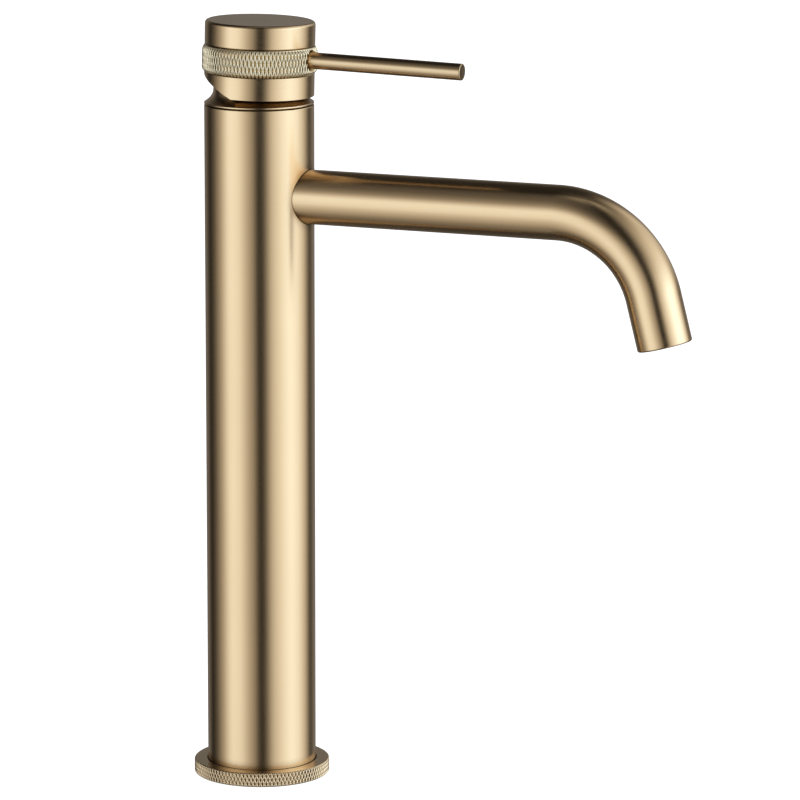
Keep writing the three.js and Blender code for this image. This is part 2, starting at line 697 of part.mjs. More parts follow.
// ---------------------------------------------------------------- bonnet
// A rounded bead over the seam, a concave flare up to the neck, and a dome about the pin.
function bonnet() {
  const bottom = BODY_HEIGHT + SEAM;
  const beadTop = bottom + BEAD_HEIGHT;
  const flareTop = beadTop + FLARE_HEIGHT;
  const flareWidth = BODY_RADIUS - BEAD_BEVEL - DOME_RADIUS;
  const flareSteps = 5;
  const domeSteps = 3;
  const flare = Array.from({ length: flareSteps + 1 }, (_, i) => {
    const share = i / flareSteps;
    const out = flareWidth * (1 - share) ** FLARE_POWER;
    return [DOME_RADIUS + out, beadTop + FLARE_HEIGHT * share];
  });
  const domeStart = Math.asin((flareTop - PIVOT_Z) / DOME_RADIUS);
  const domeEnd = Math.asin(DOME_RISE / DOME_RADIUS);
  const dome = arc(0, PIVOT_Z, DOME_RADIUS, domeStart, domeEnd, domeSteps).slice(1);
  const top = PIVOT_Z + DOME_RISE;
  const bore = NUT_COLLAR_RADIUS + BONNET_BORE_CLEARANCE;
  return revolved(
    [
      [bore, bottom],
      [BODY_RADIUS - BEAD_BEVEL, bottom],
      [BODY_RADIUS, bottom + BEAD_BEVEL],
      [BODY_RADIUS, beadTop - BEAD_BEVEL],
      ...flare,
      ...dome,
      [BONNET_TOP_OPENING, top],
      [BONNET_TOP_OPENING, top - BONNET_TOP_WALL],
      [bore, top - BONNET_TOP_WALL],
    ],
    FINE,
  );
}

// ---------------------------------------------------------------- handle
// The handle's pieces are drawn upright with the pin at the origin, and tilted together.
function valveStem() {
  const boxBottom = -STEM_ARM + BALL_RADIUS + STEM_NECK_LENGTH;
  const box = block(STEM_WIDTH, STEM_WIDTH, boxBottom, STEM_RISE);
  const neck = rod(STEM_NECK_RADIUS, -STEM_ARM, boxBottom + THROUGH, TINY);
  const ball = solidOf(new THREE.SphereGeometry(BALL_RADIUS, TINY, TINY));
  const pinHole = pinRod(STEM_WIDTH, PIN_RADIUS + SLIP, 0);
  return box.add(neck).add(moved(ball, 0, 0, -STEM_ARM)).subtract(pinHole);
}

// A block whose flat top is tipped up towards the back by an angle, at a height over the pin.
function tippedBlock(height, angle) {
  const underneath = block(LARGE, LARGE, height - LARGE, height);
  return underneath.rotate([THREE.MathUtils.radToDeg(angle), 0, 0]);
}

// The room that the bonnet's dome needs inside the handle, at rest and at full lift.
function domeRoom() {
  const ball = solidOf(new THREE.SphereGeometry(DOME_RADIUS + DOME_CLEARANCE, FINE, SMALL));
  const height = DOME_RISE + DOME_TOP_ROOM;
  const sweep = tippedBlock(height, 0).add(tippedBlock(height, FULL_LIFT));
  return ball.rotate([90, 0, 0]).intersect(sweep);
}

// The part of the skirt that is cut away at the back.
function rearCut() {
  return moved(tippedBlock(0, SKIRT_CUT_SLOPE), 0, SKIRT_CUT_START, -SKIRT_DROP);
}

function handleBody() {
  const shoulder = BAND_BOTTOM - TURNED_GAP;
  const seatTop = BAND_TOP - TURNED_GAP;
  const spigotTop = BAND_TOP + SPIGOT_HEIGHT;
  const hub = revolved(
    [
      [0, -SKIRT_DROP],
      [HANDLE_RADIUS, -SKIRT_DROP],
      [HANDLE_RADIUS, shoulder - EDGE_BEVEL],
      [HANDLE_RADIUS - EDGE_BEVEL, shoulder],
      [BAND_BORE - TURNED_GAP, shoulder],
      [BAND_BORE - TURNED_GAP, seatTop],
      [SPIGOT_RADIUS, seatTop],
      [SPIGOT_RADIUS, spigotTop],
      [0, spigotTop],
    ],
    FINE,
  );
  const skirtRoom = rod(SKIRT_BORE, -SKIRT_DROP - THROUGH, SKIRT_ROOM_RISE, FINE);
  const slack = 2 * TURNED_GAP;
  const stemSocket = block(STEM_WIDTH + slack, STEM_WIDTH + slack, 0, STEM_RISE + slack);
  const leverBore = laid(rod(LEVER_RADIUS + TURNED_GAP, LEVER_ROOT - TURNED_GAP, LARGE, SMALL));
  const grubBore = laid(rod(GRUB_RADIUS + TURNED_GAP, 0, LEVER_ROOT, TINY));
  return hub
    .subtract(skirtRoom)
    .subtract(domeRoom())
    .subtract(rearCut())
    .subtract(stemSocket)
    .subtract(moved(leverBore.add(grubBore), 0, 0, LEVER_RISE));
}

function knurledRing() {
  const band = revolved(
    [
      [BAND_BORE, BAND_BOTTOM],
      [BAND_RADIUS - BAND_BEVEL, BAND_BOTTOM],
      [BAND_RADIUS, BAND_BOTTOM + BAND_BEVEL],
      [BAND_RADIUS, BAND_TOP - TURNED_GAP],
      [BAND_BORE, BAND_TOP - TURNED_GAP],
    ],
    FINE,
  );
  const leverHole = laid(rod(LEVER_RADIUS + TURNED_GAP, LEVER_ROOT, LARGE, SMALL));
  return band.subtract(moved(leverHole, 0, 0, LEVER_RISE));
}

function handleCap() {
  const top = BAND_TOP + CAP_HEIGHT;
  const ceiling = BAND_TOP + SPIGOT_HEIGHT + TURNED_GAP;
  const middle = HANDLE_RADIUS - CAP_ROUNDING;
  const roundingSteps = 3;
  const rounding = arc(middle, top - CAP_ROUNDING, CAP_ROUNDING, 0, Math.PI / 2, roundingSteps);
  return revolved(
    [
      [SPIGOT_RADIUS + TURNED_GAP, BAND_TOP],
      [HANDLE_RADIUS - EDGE_BEVEL, BAND_TOP],
      [HANDLE_RADIUS, BAND_TOP + EDGE_BEVEL],
      ...rounding,
      [0, top],
      [0, ceiling],
      [SPIGOT_RADIUS + TURNED_GAP, ceiling],
    ],
    FINE,
  );
}

function leverRod() {
  const lever = revolved(
    [
      [0, LEVER_ROOT],
      [LEVER_RADIUS, LEVER_ROOT],
      [LEVER_RADIUS, LEVER_REACH - LEVER_BEVEL],
      [LEVER_RADIUS - LEVER_BEVEL, LEVER_REACH],
      [0, LEVER_REACH],
    ],
    SMALL,
  );
  return moved(laid(lever), 0, 0, LEVER_RISE);
}

function grubScrew() {
  const tip = STEM_WIDTH / 2 + TURNED_GAP;
  const head = LEVER_ROOT - TURNED_GAP - GRUB_INSET;
  const screw = rod(GRUB_RADIUS, tip, head, TINY);
  const drive = rod(GRUB_RADIUS * DRIVE_SHARE, head - GRUB_DRIVE_DEPTH, head + THROUGH, HEXAGON);
  return moved(laid(screw.subtract(drive)), 0, 0, LEVER_RISE);
}

// ---------------------------------------------------------------- assembly
const faucet = new THREE.Group();

faucet.add(
  mesh("base_flange", baseFlange(), GOLD),
  mesh("base_gasket", baseGasket(), RUBBER),
  mesh("foot_plug", footPlug(), RAW_BRASS),
  mesh("body_tube", bodyTube(), GOLD),
  mesh("hot_pipe", supplyPipe(-1), COPPER),
  mesh("cold_pipe", supplyPipe(1), COPPER),
  mesh("valve_housing", valveHousing(), RAW_BRASS),
  mesh("spout_tube", spoutTube(), GOLD),
  mesh("spout_nipple", spoutNipple(), RAW_BRASS),
  mesh("spout_seal_front", spoutSeal("front"), RUBBER),
  mesh("spout_seal_rear", spoutSeal("rear"), RUBBER),
  mesh("spout_lock_screw", spoutLockScrew(), STEEL),
  mesh("cartridge_base", cartridgeBase(), GREY_PLASTIC),
  mesh("port_seal_hot", portSeal(-INLET_PORT.x, INLET_PORT.y, INLET_PORT.radius), RUBBER),
  mesh("port_seal_cold", portSeal(INLET_PORT.x, INLET_PORT.y, INLET_PORT.radius), RUBBER),
  mesh("port_seal_mixed", portSeal(0, OUTLET_PORT.y, OUTLET_PORT.radius), RUBBER),
  mesh("fixed_disc", fixedDisc(), CERAMIC),
  mesh("cartridge_shell", cartridgeShell(), WHITE_PLASTIC),
  mesh("retaining_nut", retainingNut(), RAW_BRASS),
  mesh("bonnet", bonnet(), GOLD),
  mesh("cartridge_rotor", cartridgeRotor(), GREY_PLASTIC),
  mesh("stem_pivot_pin", stemPivotPin(), STEEL),
  mesh("moving_disc", movingDisc(), CERAMIC),
  mesh("disc_driver", discDriver(), WHITE_PLASTIC),
);

const outlet = new THREE.Group();
outlet.add(
  mesh("aerator_shell", aeratorShell(), STEEL),
  mesh("aerator_core", aeratorCore(), WHITE_PLASTIC),
  mesh("aerator_screen", aeratorScreen(), STEEL),
  mesh("aerator_gasket", aeratorGasket(), RUBBER),
  mesh("aerator_seat_ring", aeratorSeatRing(), RAW_BRASS),
);
outlet.position.copy(new SpoutLine(1).getPoint(1));
outlet.rotation.x = SPOUT_BEND_ANGLE - Math.PI / 2;
faucet.add(outlet);

const handle = new THREE.Group();
handle.add(
  mesh("valve_stem", valveStem(), STEEL),
  mesh("handle_body", handleBody(), GOLD),
  mesh("knurled_ring", knurledRing(), GOLD),
  mesh("handle_cap", handleCap(), GOLD),
  mesh("lever_rod", leverRod(), GOLD),
  mesh("grub_screw", grubScrew(), STEEL),
);
handle.position.z = PIVOT_Z;
handle.rotation.x = CLOSED_TILT;
faucet.add(handle);

export default faucet;
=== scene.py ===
import json
import math

import bpy
import numpy as np
from mathutils import Matrix, Vector


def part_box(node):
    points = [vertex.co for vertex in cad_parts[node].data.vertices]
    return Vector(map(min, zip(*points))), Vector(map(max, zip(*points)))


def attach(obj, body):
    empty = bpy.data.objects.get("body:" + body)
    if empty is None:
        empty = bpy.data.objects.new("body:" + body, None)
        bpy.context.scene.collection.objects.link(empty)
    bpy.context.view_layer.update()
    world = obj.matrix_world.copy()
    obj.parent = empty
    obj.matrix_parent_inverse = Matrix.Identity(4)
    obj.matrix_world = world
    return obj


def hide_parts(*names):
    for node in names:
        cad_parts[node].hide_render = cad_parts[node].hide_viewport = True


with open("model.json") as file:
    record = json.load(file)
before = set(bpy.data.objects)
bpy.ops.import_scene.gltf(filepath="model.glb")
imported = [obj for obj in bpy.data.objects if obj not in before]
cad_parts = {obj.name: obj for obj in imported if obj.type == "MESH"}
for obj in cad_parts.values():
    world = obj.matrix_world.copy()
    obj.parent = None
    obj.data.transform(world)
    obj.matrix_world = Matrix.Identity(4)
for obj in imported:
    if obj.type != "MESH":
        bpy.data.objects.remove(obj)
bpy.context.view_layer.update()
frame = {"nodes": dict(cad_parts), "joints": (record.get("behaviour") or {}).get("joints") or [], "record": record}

# A tall single-lever basin mixer in satin champagne gold. Lengths in this script are millimetres until a
# mesh is placed, +Z is up, and the spout and the lever point to -Y. The fine outer pieces are made here
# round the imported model, and its inner pieces stay as they are, with materials.
MM = 0.001


# ---------------------------------------------------------------- sizes from the frame
def mm_box(node):
    low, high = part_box(node)
    return Vector(low) / MM, Vector(high) / MM


tube_low, tube_high = mm_box("body_tube")
flange_high = mm_box("base_flange")[1]
spout_high = mm_box("spout_tube")[1]
bonnet_low, bonnet_high = mm_box("bonnet")
joints = {joint["name"]: joint for joint in frame["joints"]}

BODY_RADIUS = tube_high.x
BODY_BOTTOM = tube_low.z
BODY_TOP = tube_high.z
BODY_WALL = 2.0
FLANGE_RADIUS = flange_high.x
FLANGE_TOP = flange_high.z
SPOUT_RADIUS = spout_high.x
SPOUT_Z = spout_high.z - SPOUT_RADIUS
SPOUT_WALL = 1.5
SPOUT_ROOT = -spout_high.y
PIVOT_Z = joints["flow_lift"]["pos_m"][2] / MM
BONNET_BOTTOM = bonnet_low.z
BONNET_TOP = bonnet_high.z

# The spout's centre line, the handle's levels over the pin, and the shapes that a box doesn't give.
SPOUT_STRAIGHT = 127.7
SPOUT_BEND_RADIUS = 41.4
SPOUT_BEND_ANGLE = math.radians(75.46)
SPOUT_TAIL = 19.5
MOUTH_ROUNDING = 0.7
NECK_RADIUS = 18.3
BEAD_HEIGHT = 0.9
FLARE_HEIGHT = 5.2
FLARE_POWER = 2.35
BONNET_BORE = 14.65
BONNET_OPENING = 10.5
BONNET_TOP_WALL = 1.8
CLOSED_TILT = math.radians(1.37)
FULL_LIFT = math.radians(22)
HANDLE_RADIUS = 22.05
SKIRT_BOTTOM = -1.26
SKIRT_BORE = 20.2
SKIRT_ROOM_TOP = 5.5
SKIRT_CUT_START = 2.3
SKIRT_CUT_SLOPE = math.radians(25)
BAND_BOTTOM = 8.0
BAND_TOP = 18.88
BAND_RADIUS = 23.0
BAND_BORE = 20.4
CAP_HEIGHT = 9.5
CAP_ROUNDING = 1.3
SPIGOT_RADIUS = 15.0
SPIGOT_HEIGHT = 5.5
LEVER_RADIUS = 3.34
LEVER_Z = 13.8
LEVER_ROOT = 9.5
LEVER_REACH = 87.0
GAP = 0.2

ROUND = 192  # facets round the large pieces
SMALL_ROUND = 64


# ---------------------------------------------------------------- shape helpers
def fillet(before, corner, after, radius, steps=6):
    """Points on the arc that rounds a corner of an outline."""
    corner, before, after = (np.array(p[:2], float) for p in (corner, before, after))
    first = (before - corner) / np.linalg.norm(before - corner)
    second = (after - corner) / np.linalg.norm(after - corner)
    half = math.acos(np.clip(first @ second, -1, 1)) / 2
    middle = first + second
    centre = corner + middle / np.linalg.norm(middle) * radius / math.sin(half)
    start = corner + first * radius / math.tan(half) - centre
    end = corner + second * radius / math.tan(half) - centre
    sweep = math.pi - 2 * half
    weights = [(math.sin(sweep * (1 - k / steps)), math.sin(sweep * k / steps)) for k in range(steps + 1)]
    return [tuple(centre + (start * a + end * b) / math.sin(sweep)) for a, b in weights]


def rounded(outline):
    """An outline of (radius, height) points, where a third number rounds that corner."""
    points = []
    for i, point in enumerate(outline):
        if len(point) == 3:
            points += fillet(outline[i - 1], point, outline[(i + 1) % len(outline)], point[2])
        else:
            points.append(point)
    return points


def skin(name, rings):
    """A closed surface through rings of points. A ring with one point closes the surface there."""
    verts, starts = [], []
    for ring in rings:
        starts.append(len(verts))
        verts += [tuple(p) for p in np.atleast_2d(ring)]
    faces = []
    for i, ring in enumerate(rings):
        after = (i + 1) % len(rings)
        here, there = len(np.atleast_2d(ring)), len(np.atleast_2d(rings[after]))
        count = max(here, there)
        if count == 1:
            continue
        for j in range(count):
            k = (j + 1) % count
            corners = [starts[i] + j % here, starts[i] + k % here,
                       starts[after] + k % there, starts[after] + j % there]
            faces.append(list(dict.fromkeys(corners)))
    mesh = bpy.data.meshes.new(name)
    mesh.from_pydata(verts, [], faces)
    mesh.update()
    piece = bpy.data.objects.new(name, mesh)
    bpy.context.scene.collection.objects.link(piece)
    return piece


def around(count):
    return np.arange(count) * 2 * math.pi / count


def circle(radius, z, count):
    """A ring about +Z, or one point where the radius is nothing."""
    if np.max(radius) < 1e-6:
        return np.array([[0.0, 0.0, z]])
    angles = around(count)
    return np.column_stack([radius * np.cos(angles), radius * np.sin(angles), np.full(count, z)])


def lathe(name, outline, count=ROUND):
    """A solid of revolution about +Z. The outline runs counter-clockwise in (radius, height)."""
    return skin(name, [circle(r, z, count) for r, z in rounded(outline)])


def laid():
    """Turns a shape made along +Z so that it points to -Y."""
    return Matrix.Rotation(math.pi / 2, 4, "X")


def block(name, low, high):
    corners = [(x, y, z) for z in (low[2], high[2]) for x, y in
               ((low[0], low[1]), (high[0], low[1]), (high[0], high[1]), (low[0], high[1]))]
    faces = [(3, 2, 1, 0), (4, 5, 6, 7), (0, 1, 5, 4), (1, 2, 6, 5), (2, 3, 7, 6), (3, 0, 4, 7)]
    mesh = bpy.data.meshes.new(name)
    mesh.from_pydata(corners, [], faces)
    piece = bpy.data.objects.new(name, mesh)
    bpy.context.scene.collection.objects.link(piece)
    return piece


def combine(piece, cutter, operation):
    """Cuts a piece with another solid, or keeps what they share, and removes the other solid."""
    modifier = piece.modifiers.new("combine", "BOOLEAN")
    modifier.operation = operation
    modifier.solver = "EXACT"
    modifier.object = cutter
    graph = bpy.context.evaluated_depsgraph_get()
    made = bpy.data.meshes.new_from_object(piece.evaluated_get(graph))
    piece.modifiers.clear()
    piece.data = made
    bpy.data.objects.remove(cutter)
    return piece


def carve(piece, *cutters):
    for cutter in cutters:
        combine(piece, cutter, "DIFFERENCE")
    return piece


HANDLE_FRAME = Matrix.Translation((0, 0, PIVOT_Z)) @ Matrix.Rotation(CLOSED_TILT, 4, "X")


def finished(piece, body, nodes, material, place=Matrix.Identity(4), sharp=30):
    """Places a piece in metres, smooths it between its sharp edges, and ties it to the frame."""
    piece.data.transform(Matrix.Scale(MM, 4) @ place)
    piece.data.shade_smooth()
    piece.data.set_sharp_from_angle(angle=math.radians(sharp))
    weighted = piece.modifiers.new("weighted_normals", "WEIGHTED_NORMAL")
    weighted.keep_sharp = True
    piece.data.materials.clear()
    piece.data.materials.append(material)
    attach(piece, body)
    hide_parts(*nodes)
    return piece


# ---------------------------------------------------------------- materials
class Nodes:
    """A material's node tree, with one short call for each node."""

    def __init__(self, name):
        self.material = bpy.data.materials.new(name)
        self.material.use_nodes = True
        self.tree = self.material.node_tree
        self.shader = self.tree.nodes["Principled BSDF"]

    def add(self, kind, **values):
        node = self.tree.nodes.new(kind)
        for key, value in values.items():
            if key in node.inputs:
                node.inputs[key].default_value = value
            else:
                setattr(node, key, value)
        return node

    def link(self, output, target):
        self.tree.links.new(output, target)

    def noise(self, scale, stretch=(1, 1, 1), detail=4, roughness=0.6):
        """Noise in the object's own metres, stretched along its axes."""
        place = self.add("ShaderNodeTexCoord")
        mapping = self.add("ShaderNodeMapping")
        mapping.inputs["Scale"].default_value = stretch
        noise = self.add("ShaderNodeTexNoise", Scale=scale, Detail=detail, Roughness=roughness)
        self.link(place.outputs["Object"], mapping.inputs["Vector"])
        self.link(mapping.outputs["Vector"], noise.inputs["Vector"])
        return noise.outputs["Fac"]

    def between(self, factor, low, high):
        """A number that runs from low to high as the factor runs over a noise's usual span."""
        span = self.add("ShaderNodeMapRange")
        for key, value in (("From Min", 0.3), ("From Max", 0.7), ("To Min", low), ("To Max", high)):
            span.inputs[key].default_value = value
        self.link(factor, span.inputs["Value"])
        return span.outputs["Result"]

    def blend(self, factor, first, second):
        mix = self.add("ShaderNodeMix", data_type="RGBA")
        mix.inputs["A"].default_value = (*first, 1)
        mix.inputs["B"].default_value = (*second, 1)
        self.link(factor, mix.inputs["Factor"])
        return next(o for o in mix.outputs if o.type == "RGBA")

    def painted_crevice_shade(self, color, reach, depth):
        """Painted shade: darkens a colour where other surfaces stand close, where shade falls in a gap."""
        open_share = self.add("ShaderNodeAmbientOcclusion", Distance=reach, samples=6)
        darker = self.add("ShaderNodeMapRange")
        darker.inputs["To Min"].default_value = depth
        self.link(open_share.outputs["AO"], darker.inputs["Value"])
        scaled = self.add("ShaderNodeVectorMath", operation="SCALE")
        self.link(color, scaled.inputs[0])
        self.link(darker.outputs["Result"], scaled.inputs["Scale"])
        return scaled.outputs["Vector"]

    def bump(self, height, distance, strength):
        bump = self.add("ShaderNodeBump", Distance=distance, Strength=strength)
        self.link(height, bump.inputs["Height"])
        self.link(bump.outputs["Normal"], self.shader.inputs["Normal"])


def shade(color, share):
    return tuple(c * share for c in color)


def brushed_metal(name, color, roughness, grain, depth=0.4, variation=0.04, gloss=0.12,
                  crevice_shade=(0.003, 0.5)):
    """Metal with a fine brushed grain, slow changes of colour and gloss over it, and painted shade darkening its
    crevices.
    """
    nodes = Nodes(name)
    shader = nodes.shader
    shader.inputs["Metallic"].default_value = 1
    fine = nodes.noise(900, grain, detail=3)
    slow = nodes.noise(18, detail=2)
    darker, lighter = shade(color, 1 - variation), shade(color, 1 + variation)
    plain = nodes.blend(nodes.between(slow, 0, 1), darker, lighter)
    nodes.link(nodes.painted_crevice_shade(plain, *crevice_shade), shader.inputs["Base Color"])
    rough = nodes.between(fine, roughness * (1 - gloss), roughness * (1 + gloss))
    nodes.link(rough, shader.inputs["Roughness"])
    nodes.bump(fine, 0.00002, depth)
    return nodes.material


GOLD = (0.8, 0.56, 0.31)
FLANGE_HIGHLIGHT_GOLD = (0.92, 0.68, 0.4)  # the flange: a paler copy of the gold, a painted highlight that brightens its knurl ridges
BAND_HIGHLIGHT_GOLD = (1.0, 0.82, 0.53)  # the knurled band: a paler copy of the gold, a painted highlight on its fine ridges
UPRIGHT_GRAIN = (1, 1, 0.03)
ROUND_GRAIN = (0.05, 0.05, 1)
SPOUT_GRAIN = (1, 0.03, 1)
EVEN_GRAIN = (1, 1, 1)


def satin_gold(name, grain, crevice_shade, color=GOLD):
    return brushed_metal(name, color, 0.24, grain, depth=0.03, variation=0.012, gloss=0.05, crevice_shade=crevice_shade)


def moulded(name, color, roughness, scale=350, depth=0.15, variation=0.05):
    """Rubber, plastic or ceramic with a faint surface texture."""
    nodes = Nodes(name)
    shader = nodes.shader
    fine = nodes.noise(scale, detail=3)
    slow = nodes.noise(40, detail=2)
    darker, lighter = shade(color, 1 - variation), shade(color, 1 + variation)
    nodes.link(nodes.blend(nodes.between(slow, 0, 1), darker, lighter), shader.inputs["Base Color"])
    rough = nodes.between(fine, roughness * 0.9, min(roughness * 1.1, 1))
    nodes.link(rough, shader.inputs["Roughness"])
    nodes.bump(fine, 0.00003, depth)
    return nodes.material


# Each gold's pair gives the reach and depth of its painted crevice shade; the other metals keep the default.
looks = {
    "gold_column": satin_gold("satin_gold_column", UPRIGHT_GRAIN, (0.004, 0.15)),
    "gold_spout": satin_gold("satin_gold_spout", SPOUT_GRAIN, (0.0012, 0.4)),
    "gold_handle": satin_gold("satin_gold_handle", ROUND_GRAIN, (0.006, 0.25)),
    "gold_knurl": satin_gold("satin_gold_knurl", EVEN_GRAIN, (0.0008, 0.45), color=BAND_HIGHLIGHT_GOLD),
    "gold_flange": satin_gold("satin_gold_flange", EVEN_GRAIN, (0.0008, 0.35), color=FLANGE_HIGHLIGHT_GOLD),
    "gold_lever": satin_gold("satin_gold_lever", SPOUT_GRAIN, (0.0012, 0.4), color=shade(GOLD, 0.88)),
    "raw_brass": brushed_metal("turned_brass", (0.66, 0.46, 0.16), 0.35, ROUND_GRAIN, variation=0.08),
    "copper": brushed_metal("drawn_copper", (0.74, 0.34, 0.2), 0.3, UPRIGHT_GRAIN, variation=0.12),
    "steel": brushed_metal("turned_steel", (0.56, 0.56, 0.57), 0.28, ROUND_GRAIN),
    "rubber": moulded("black_rubber", (0.02, 0.02, 0.021), 0.75),
    "ceramic": moulded("ground_ceramic", (0.78, 0.75, 0.67), 0.2, variation=0.03),
    "white_plastic": moulded("white_plastic", (0.72, 0.72, 0.69), 0.45, variation=0.03),
    "grey_plastic": moulded("glass_filled_plastic", (0.09, 0.095, 0.1), 0.55, variation=0.15),
}


# ---------------------------------------------------------------- base
RIDGE_FLAT = 0.16  # the share of the way down to a pit that a ridge's flat top takes
SHORTEST_STEP = 0.02  # a ring of points stays at least this far from the ring's own edges


def knurl(angles, z, columns, period):
    """How far a diamond knurl stands up: 1 on its crossing flat-topped ridges, 0 in the middle of a pit."""
    across = angles * columns / (2 * math.pi)
    along = z / period
    from_ridges = [np.abs((line + 0.5) % 1 - 0.5) * 2 for line in (across + along, across - along)]
    from_top = np.maximum(np.minimum(*from_ridges) - RIDGE_FLAT, 0) / (1 - RIDGE_FLAT)
    return 1 - from_top


def knurled_ring(name, outline, bore, depth, columns, period, pit_z, lip, steps=10):
    """A ring with a knurled outside. The outline gives the outer radius by height, bottom to top. The
    knurl's pits are centred at one height, and a plain lip is left at the top and at the bottom."""
    heights, radii = np.array(outline).T
    bottom, top = heights[0], heights[-1]
    angles = around(columns * steps)
    rise = period / (2 * steps)
    first, last = math.floor((bottom - pit_z) / rise), math.ceil((top - pit_z) / rise)
    levels = pit_z + np.arange(first, last + 1) * rise
    inside = (levels > bottom + SHORTEST_STEP) & (levels < top - SHORTEST_STEP)
    levels = sorted({*levels[inside], bottom, top, *heights})
    rings = [circle(bore, top, len(angles)), circle(bore, bottom, len(angles))]
    for z in levels:
        room = min((z - bottom) / max(lip[0], 0.01), (top - z) / max(lip[1], 0.01)) - 1
        share = min(max(room * 2, 0), 1)
        stands = knurl(angles, z - pit_z - period / 2, columns, period)
        r = np.interp(z, heights, radii) - depth * share * (1 - stands)
        rings.append(np.column_stack([r * np.cos(angles), r * np.sin(angles), np.full(len(angles), z)]))
    return skin(name, rings)


def base_flange():
    edge = 0.5
    outline = [(0, FLANGE_RADIUS - edge), (edge / 2, FLANGE_RADIUS - edge / 4), (edge, FLANGE_RADIUS),
               (FLANGE_TOP - edge, FLANGE_RADIUS), (FLANGE_TOP - edge / 2, FLANGE_RADIUS - edge / 4),
               (FLANGE_TOP, FLANGE_RADIUS - edge)]
    return knurled_ring("knurled_base_flange", outline, bore=BODY_RADIUS + 0.4, depth=0.7, columns=110,
                        period=3.26, pit_z=FLANGE_TOP / 2, lip=(0.1, 0.15))


def base_gasket():
    width, height = 2.3, 1.2
    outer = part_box("base_gasket")[1].x / MM
    inner = outer - width
    return lathe("ring_gasket", [(inner, 0, 0.15), (outer, 0, 0.15), (outer, height), (inner, height)])


# ---------------------------------------------------------------- column and spout
def column():
    bore = BODY_RADIUS - BODY_WALL
    tube = lathe("column", [(bore, BODY_BOTTOM), (BODY_RADIUS, BODY_BOTTOM), (BODY_RADIUS, BODY_TOP, 0.4),
                            (bore, BODY_TOP)], 256)
    hole_radius = SPOUT_RADIUS + 0.22
    hole = lathe("hole", [(0, bore / 2), (hole_radius, bore / 2), (hole_radius, 2 * BODY_RADIUS),
                          (0, 2 * BODY_RADIUS)], 160)
    hole.data.transform(Matrix.Translation((0, 0, SPOUT_Z)) @ laid())
    return carve(tube, hole)


def spout_place(distance):
    """The centre line's point, direction and upward normal at a distance from the spout's inner end."""
    straight = SPOUT_STRAIGHT - SPOUT_ROOT
    bend = min(max((distance - straight) / SPOUT_BEND_RADIUS, 0), SPOUT_BEND_ANGLE)
    reach = SPOUT_ROOT + min(distance, straight) + SPOUT_BEND_RADIUS * math.sin(bend)
    drop = SPOUT_BEND_RADIUS * (1 - math.cos(bend))
    tail = max(distance - straight - SPOUT_BEND_RADIUS * SPOUT_BEND_ANGLE, 0)
    along = np.array([0, -math.cos(bend), -math.sin(bend)])
    up = np.array([0, -math.sin(bend), math.cos(bend)])
    return np.array([0, -reach, SPOUT_Z - drop]) + tail * along, along, up


SPOUT_LENGTH = SPOUT_STRAIGHT - SPOUT_ROOT + SPOUT_BEND_RADIUS * SPOUT_BEND_ANGLE + SPOUT_TAIL


def spout_ring(radius, distance, count=128):
    centre, _, up = spout_place(distance)
    angles = around(count)[:, None]
    return centre + radius * (np.cos(angles) * np.array([1, 0, 0]) + np.sin(angles) * up)


def spout():
    bore = SPOUT_RADIUS - SPOUT_WALL
    straight = SPOUT_STRAIGHT - SPOUT_ROOT
    bend_steps = 60
    bend = [straight + SPOUT_BEND_RADIUS * SPOUT_BEND_ANGLE * k / bend_steps for k in range(bend_steps + 1)]
    mouth = fillet((SPOUT_RADIUS, 0), (SPOUT_RADIUS, SPOUT_LENGTH), (bore, SPOUT_LENGTH), MOUTH_ROUNDING)
    mouth += fillet((SPOUT_RADIUS, SPOUT_LENGTH), (bore, SPOUT_LENGTH), (bore, 0), MOUTH_ROUNDING / 2)
    outline = [(SPOUT_RADIUS, d) for d in [0, *bend]] + mouth + [(bore, d) for d in [*reversed(bend), 0]]
    return skin("spout", [spout_ring(r, d) for r, d in outline])


# ---------------------------------------------------------------- outlet
AERATOR_RECESS = 0.8
AERATOR_LENGTH = 8.0
AERATOR_LIP = 1.4
AERATOR_WALL = 1.2
AERATOR_RIM = 1.2  # the plain edge round the grid
AERATOR_RADIUS = SPOUT_RADIUS - SPOUT_WALL - GAP


def outlet_frame():
    """Puts a shape made about +Z, with the mouth at 0, into the end of the spout."""
    point = spout_place(SPOUT_LENGTH)[0]
    return Matrix.Translation(point) @ Matrix.Rotation(SPOUT_BEND_ANGLE - math.pi / 2, 4, "X")


def aerator_shell():
    inner = AERATOR_RADIUS - AERATOR_WALL
    top = AERATOR_RECESS + AERATOR_LENGTH
    return lathe("aerator_housing", [
        (inner - AERATOR_LIP, AERATOR_RECESS, 0.3),
        (AERATOR_RADIUS, AERATOR_RECESS, 0.2),
        (AERATOR_RADIUS, top),
        (inner, top),
        (inner, AERATOR_RECESS + AERATOR_LIP),
        (inner - AERATOR_LIP, AERATOR_RECESS + AERATOR_LIP, 0.3),
    ], 96)


def aerator_core():
    """The flow straightener: a plate with a fine grid of square channels."""
    radius = AERATOR_RADIUS - AERATOR_WALL - GAP
    bottom = AERATOR_RECESS + AERATOR_LIP + GAP
    top = AERATOR_RECESS + AERATOR_LENGTH - 0.8 - 2 * GAP
    core = lathe("aerator_grid", [(0, bottom), (radius, bottom, 0.2), (radius, top), (0, top)], 96)
    pitch, half = 1.5, 0.55
    reach = radius - AERATOR_RIM
    cutter = None
    for i in range(-4, 5):
        for j in range(-4, 5):
            if math.hypot(abs(i * pitch) + half, abs(j * pitch) + half) > reach:
                continue
            channel = block("channel", (i * pitch - half, j * pitch - half, bottom - 1),
                            (i * pitch + half, j * pitch + half, top + 1))
            if cutter is None:
                cutter = channel
            else:
                joined = [cutter, channel]
                with bpy.context.temp_override(active_object=cutter, selected_editable_objects=joined):
                    bpy.ops.object.join()
    return carve(core, cutter)


